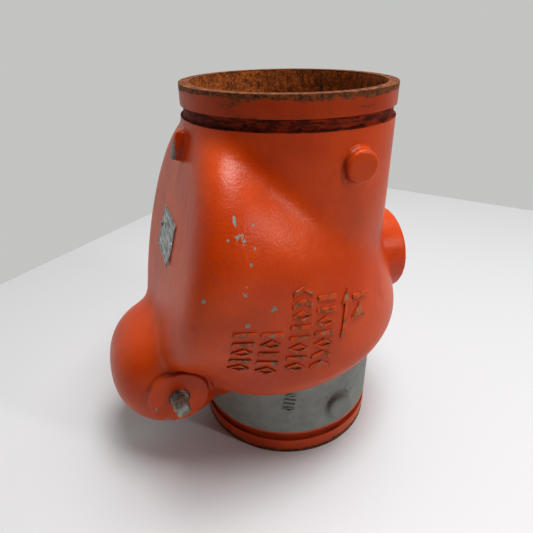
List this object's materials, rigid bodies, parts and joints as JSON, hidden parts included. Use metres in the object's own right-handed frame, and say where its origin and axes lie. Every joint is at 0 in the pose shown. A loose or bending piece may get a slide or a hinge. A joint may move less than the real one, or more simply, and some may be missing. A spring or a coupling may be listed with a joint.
{
  "type": "swing check valve with grooved ends",
  "caption": "Upright swing check valve with grooved pipe ends: painted cast body, inclined seat, and a spring-closed hinged clapper that lets flow pass upwards only.",
  "frame": {"origin": "middle of the bounding box at its foot, in the plane of the inlet end face; the flow axis stands 43.5 mm towards +X of it", "axes": "+Z along the flow axis, the way the fluid flows; the hinge pin lies along Y, on the -X side of the flow axis; +X towards the large blank boss"},
  "size_m": [0.363, 0.2872, 0.4191],
  "materials": {
    "orange_enamel": "gloss enamel over sand-cast ductile iron",
    "seat_bronze": "turned bronze",
    "black_rubber": "moulded EPDM rubber",
    "cast_iron": "bare cast iron, machined where it fits",
    "stainless_steel": "turned stainless steel",
    "bush_bronze": "sintered bronze",
    "plug_steel": "weathered malleable iron",
    "plate_aluminium": "brushed sheet"
  },
  "bodies": {
    "body": {"body_casting": "orange_enamel", "seat_ring": "seat_bronze", "seat_o_ring": "black_rubber", "nameplate": "plate_aluminium", "nameplate_pin_front": "stainless_steel", "nameplate_pin_rear": "stainless_steel", "hinge_pin": "stainless_steel", "body_bush_front": "bush_bronze", "body_bush_rear": "bush_bronze", "hinge_spacer_front": "stainless_steel", "hinge_spacer_rear": "stainless_steel", "hinge_plug_front": "plug_steel", "hinge_plug_rear": "plug_steel", "torsion_spring_front": "stainless_steel", "torsion_spring_rear": "stainless_steel"},
    "arm": {"clapper_arm": "cast_iron", "arm_bush_front": "bush_bronze", "arm_bush_rear": "bush_bronze"},
    "disc": {"clapper_disc": "cast_iron", "disc_seal": "black_rubber", "seal_retainer": "stainless_steel", "retainer_screw_1": "stainless_steel", "retainer_screw_2": "stainless_steel", "retainer_screw_3": "stainless_steel", "retainer_screw_4": "stainless_steel", "retainer_screw_5": "stainless_steel", "retainer_screw_6": "stainless_steel", "disc_washer": "stainless_steel", "disc_nut": "stainless_steel", "cotter_pin": "stainless_steel"}
  },
  "joints": [
    {"name": "clapper_swing", "type": "hinge", "parent": "body", "child": "arm", "pos_m": [-0.1125, 0, 0.107], "axis": [0, -1, 0], "range_deg": [0, 55], "stiffness_Nm_per_rad": 0.8, "springref_deg": -28.65, "deforming": ["torsion_spring_front", "torsion_spring_rear"]},
    {"name": "disc_spin", "type": "hinge", "parent": "arm", "child": "disc", "pos_m": [0.03815, 0, 0.14345], "axis": [-0.2351, 0, 0.972], "continuous": true}
  ]
}
